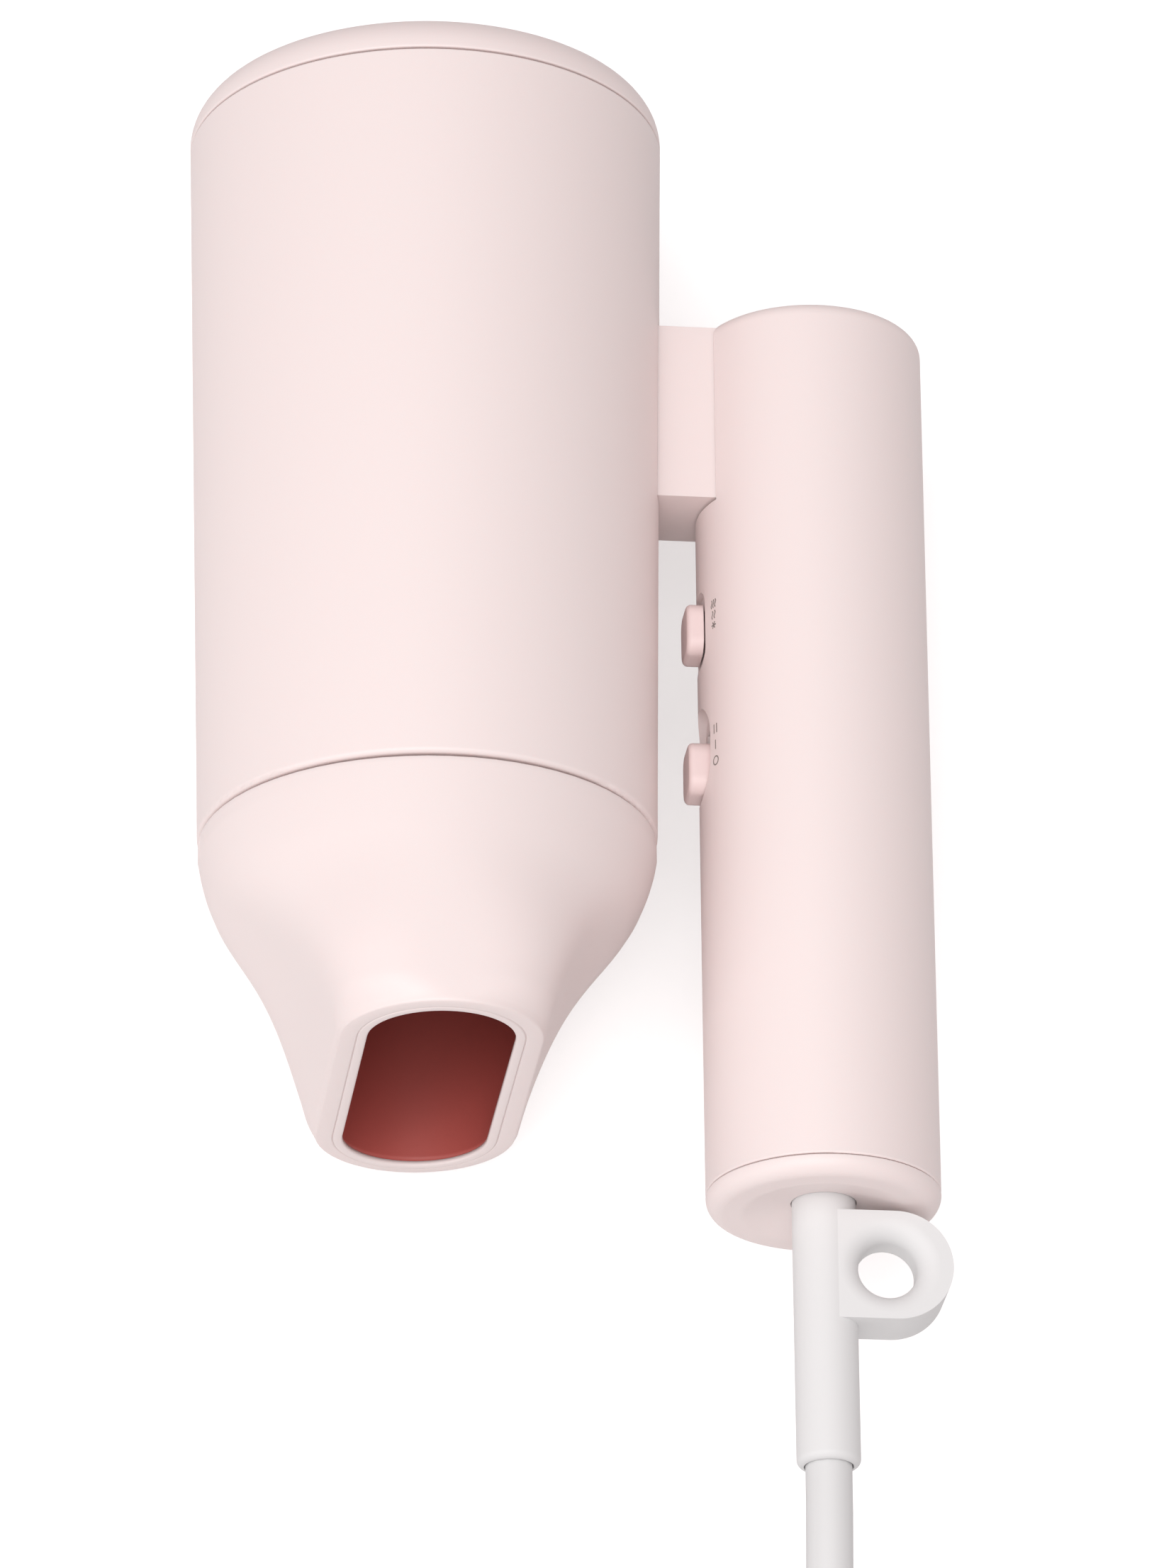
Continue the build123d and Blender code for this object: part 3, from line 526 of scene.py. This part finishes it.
def make_finishes(colours):
    """One material for each slot."""
    FINISHES["pink_shell"] = pink_shell(colours)
    FINISHES["pink_knob"] = plain_plastic("satin_pink_abs", colours.knob, 0.42)
    FINISHES["pink_grille"] = plain_plastic("satin_pink_grille", colours.shell, 0.44)
    FINISHES["maroon_liner"] = plain_plastic("moulded_maroon_pbt", colours.liner, 0.5)
    FINISHES["filter_cloth"] = plain_plastic("woven_filter_cloth", "#6B5A5A", 0.9, 0.5, 0.1)
    FINISHES["black_heat_plastic"] = plain_plastic("glass_filled_black_pps", "#1C1C1E", 0.55)
    FINISHES["glass_filled_nylon"] = plain_plastic("natural_glass_filled_nylon", "#D8D5CC", 0.6)
    FINISHES["black_switch_plastic"] = plain_plastic("moulded_black_pom", "#202022", 0.4)
    FINISHES["plated_magnet"] = plain_metal("nickel_plated_magnet", "#C9C9CB", 0.2)
    FINISHES["zinc_plated_steel"] = plain_metal("zinc_plated_steel", "#C2C6CA", 0.35)
    FINISHES["ground_steel"] = plain_metal("ground_steel", "#BFC1C4", 0.25)
    FINISHES["spring_steel"] = plain_metal("drawn_spring_steel", "#A9AAAD", 0.3)
    FINISHES["brass_bush"] = plain_metal("turned_brass", "#D9B36A", 0.3)
    FINISHES["mica_board"] = plain_plastic("mica_sheet", "#CDBE97", 0.45, 3.0, 0.02)
    FINISHES["heating_wire"] = plain_metal("oxidised_nichrome_wire", "#7B746C", 0.5)
    FINISHES["wire_insulation"] = plain_plastic("red_silicone_insulation", "#A33A34", 0.5)
    FINISHES["circuit_board"] = plain_plastic("green_solder_mask", "#1F6B3C", 0.35)
    FINISHES["board_component"] = plain_plastic("moulded_epoxy", "#2A2A2C", 0.5)
    FINISHES["grey_cord"] = plain_plastic("extruded_grey_pvc", colours.cord, 0.55)
    FINISHES["grey_relief"] = plain_plastic("moulded_grey_tpe", colours.relief, 0.6)
    FINISHES["grey_tie"] = plain_plastic("grey_hook_strap", "#B9B9BB", 0.8, 0.6, 0.1)
    FINISHES["grey_plug"] = plain_plastic("moulded_grey_pvc", colours.cord, 0.4)
    FINISHES["plug_pin_metal"] = plain_metal("nickel_plated_brass", "#D6D3CC", 0.22)


# ------------------------------------------------------------------ operators

class DryerFinishes(bpy.types.Operator):
    """Make the finishes and give each CAD piece its own."""

    bl_idname = "dryer.finishes"
    bl_label = "Finishes"

    def execute(self, context):
        make_finishes(context.scene.dryer_colours)
        for part in frame["record"]["subparts"]:
            materials = frame["nodes"][part["node"]].data.materials
            materials.clear()
            materials.append(FINISHES[part["material_slot"]])
        return {"FINISHED"}


class DryerNozzle(bpy.types.Operator):
    """Make the nozzle's pink skin and its maroon liner."""

    bl_idname = "dryer.nozzle"
    bl_label = "Nozzle"

    def execute(self, context):
        sizes = context.scene.dryer_nozzle
        profile = nozzle_skin_profile(sizes)
        skin = slot_surface("nozzle_skin", profile, cheek_corners(profile, sizes))
        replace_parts(link_object("nozzle_skin", skin, "nozzle", "pink_shell"), "nozzle_shell")
        throat = slot_surface("nozzle_throat", nozzle_liner_profile(sizes))
        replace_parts(link_object("nozzle_throat", throat, "nozzle", "maroon_liner"), "nozzle_liner")
        return {"FINISHED"}


class DryerMarks(bpy.types.Operator):
    """Print the small marks beside the two knobs."""

    bl_idname = "dryer.marks"
    bl_label = "Switch marks"

    def execute(self, context):
        points, faces = [], []
        for path, closed in switch_marks():
            start = sum(len(p) for p in points)
            more_points, more_faces = printed_line(path, LINE_WIDTH, closed)
            points.append(more_points)
            faces += [[i + start for i in f] for f in more_faces]
        mesh = mesh_from("switch_marks", np.concatenate(points), faces, smooth=False)
        marks = bpy.data.objects.new("switch_marks", mesh)
        context.scene.collection.objects.link(marks)
        code = context.scene.dryer_colours.mark
        mesh.materials.append(finish("printed_grey_ink", code, 0.6)[0])
        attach(marks, "handle")
        return {"FINISHED"}


class DryerCord(bpy.types.Operator):
    """Lay the mains cord: its free run, its coil and its tail to the plug."""

    bl_idname = "dryer.cord"
    bl_label = "Cord"

    def execute(self, context):
        sizes = context.scene.dryer_cord
        points = cord_points(sizes)
        data = bpy.data.curves.new("mains_cord", "CURVE")
        data.dimensions = "3D"
        data.bevel_depth = sizes.diameter / 2
        data.bevel_resolution = 5
        data.resolution_u = 6
        data.use_fill_caps = True
        spline = data.splines.new("NURBS")
        spline.points.add(len(points) - 1)
        spline.points.foreach_set("co", np.column_stack([points, np.ones(len(points))]).ravel())
        spline.order_u = 3
        spline.use_endpoint_u = True
        cord = link_object("mains_cord", data, "handle", "grey_cord")
        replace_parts(cord, "power_cord", "cord_coil", "cord_end")
        return {"FINISHED"}


def soft_light(name, offset, target, size, power):
    """A square white area light that stands at an offset in metres and faces the target."""
    data = bpy.data.lights.new(name, "AREA")
    data.shape = "SQUARE"
    data.size = size
    data.energy = power
    lamp = bpy.data.objects.new(name, data)
    bpy.context.scene.collection.objects.link(lamp)
    lamp.location = target + Vector(offset)
    lamp.rotation_euler = (target - lamp.location).to_track_quat("-Z", "Y").to_euler()


# Middle of the view, from the barrel's axis at the seam, in millimetres.
VIEW_CENTRE = (23.73, 9.5, 2.9)
FLOOR_REACH = 6.0
FLOOR_CORNERS = ((-1, -1), (1, -1), (1, 1), (-1, 1))


class DryerStage(bpy.types.Operator):
    """Set the camera, the pale floor and the soft lights."""

    bl_idname = "dryer.stage"
    bl_label = "Stage"

    def execute(self, context):
        place = context.scene.dryer_stage
        lean, tilt, roll = place.lean, place.tilt, place.roll
        centre = AXIS + Vector(VIEW_CENTRE) * MM
        back = Vector((
            -math.sin(lean) * math.cos(tilt), -math.sin(tilt), math.cos(lean) * math.cos(tilt)
        ))
        level = Vector((math.cos(lean), 0, math.sin(lean)))
        upright = back.cross(level)
        right = level * math.cos(roll) - upright * math.sin(roll)
        up = upright * math.cos(roll) + level * math.sin(roll)
        data = bpy.data.cameras.new("camera")
        data.sensor_fit = "VERTICAL"
        data.sensor_height = 36
        data.lens = place.lens
        data.clip_end = 20
        camera = bpy.data.objects.new("camera", data)
        context.scene.collection.objects.link(camera)
        turn = Matrix((right, up, back)).transposed().to_4x4()
        camera.matrix_world = Matrix.Translation(centre + back * place.distance) @ turn
        context.scene.camera = camera

        corners = [(x * FLOOR_REACH, y * FLOOR_REACH, 0) for x, y in FLOOR_CORNERS]
        floor = bpy.data.objects.new("floor", mesh_from("floor", corners, [(0, 1, 2, 3)]))
        context.scene.collection.objects.link(floor)
        # White card. It glows to the camera alone, which thins the shadows but leaves the dryer's
        # sides in shade.
        card, tree, shader = finish("white_card", "#EDEDED", 0.9)
        shader.inputs["Emission Color"].default_value = (0.45, 0.45, 0.45, 1)
        seen = add(tree, "ShaderNodeLightPath").outputs["Is Camera Ray"]
        tree.links.new(seen, shader.inputs["Emission Strength"])
        floor.data.materials.append(card)

        world = bpy.data.worlds.new("studio")
        world.use_nodes = True
        sky = world.node_tree.nodes["Background"]
        sky.inputs["Color"].default_value = linear("#FFF7F7")
        sky.inputs["Strength"].default_value = place.sky
        context.scene.world = world
        context.scene.view_settings.view_transform = "Standard"
        soft_light("key", (-0.28, -0.36, 1.2), centre, 1.1, place.key_power)
        soft_light("side", (-1.0, -0.7, 0.5), centre, 0.5, place.side_power)
        return {"FINISHED"}


class DryerPanel(bpy.types.Panel):
    """Lists the dryer's steps in the sidebar."""

    bl_idname = "VIEW3D_PT_dryer"
    bl_label = "Travel hair dryer"
    bl_space_type = "VIEW_3D"
    bl_region_type = "UI"
    bl_category = "Dryer"

    def draw(self, context):
        for step in STEPS:
            self.layout.operator(step.bl_idname)


GROUPS = {
    "dryer_nozzle": DryerNozzleSettings,
    "dryer_cord": DryerCordSettings,
    "dryer_colours": DryerColourSettings,
    "dryer_stage": DryerStageSettings,
}
STEPS = (DryerFinishes, DryerStage, DryerCord, DryerNozzle, DryerMarks)


def register():
    for item in (*GROUPS.values(), *STEPS, DryerPanel):
        bpy.utils.register_class(item)
    for name, group in GROUPS.items():
        setattr(bpy.types.Scene, name, bpy.props.PointerProperty(type=group))


def unregister():
    for name in GROUPS:
        delattr(bpy.types.Scene, name)
    for item in (DryerPanel, *reversed(STEPS), *GROUPS.values()):
        bpy.utils.unregister_class(item)


def main():
    """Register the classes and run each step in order."""
    register()
    bpy.ops.dryer.finishes()
    bpy.ops.dryer.stage()
    bpy.ops.dryer.cord()
    bpy.ops.dryer.nozzle()
    bpy.ops.dryer.marks()


if __name__ == "__main__":
    main()
